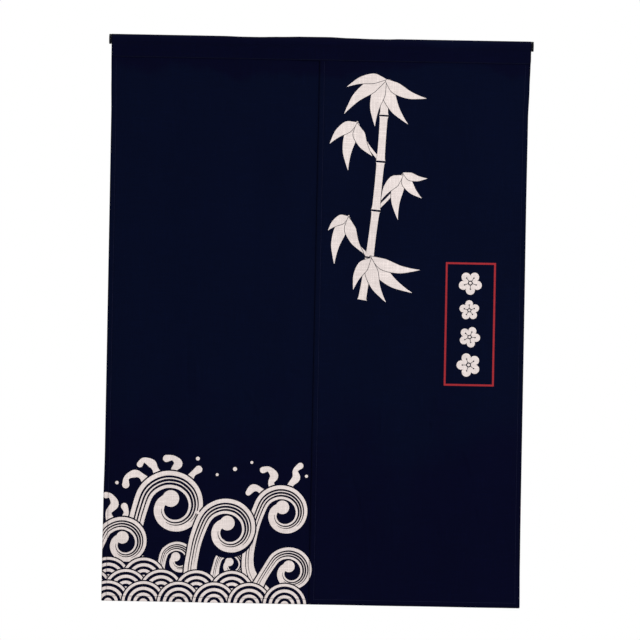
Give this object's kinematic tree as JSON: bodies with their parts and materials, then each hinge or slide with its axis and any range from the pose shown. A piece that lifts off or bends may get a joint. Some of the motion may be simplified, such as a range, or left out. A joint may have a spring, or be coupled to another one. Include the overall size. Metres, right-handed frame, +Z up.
{
  "type": "noren curtain with rod",
  "caption": "Door curtain whose lapped cloth panels hang nearly flat from a heading sleeve on a plain round rod, with a slit down the middle to walk through.",
  "frame": {"origin": "on the rod's axis, halfway along it", "axes": "+Z up, +X along the rod to the right as seen from the front, the printed front faces -Y"},
  "size_m": [0.8652, 0.0204, 1.1571],
  "materials": {
    "cloth": "plain woven, matte",
    "rod": "dark paint, satin",
    "cap": "matte"
  },
  "bodies": {
    "root": {"rod": "rod", "end_cap_left": "cap", "end_cap_right": "cap", "heading_sleeve": "cloth", "panel_left": "cloth", "panel_right": "cloth"}
  },
  "joints": []
}
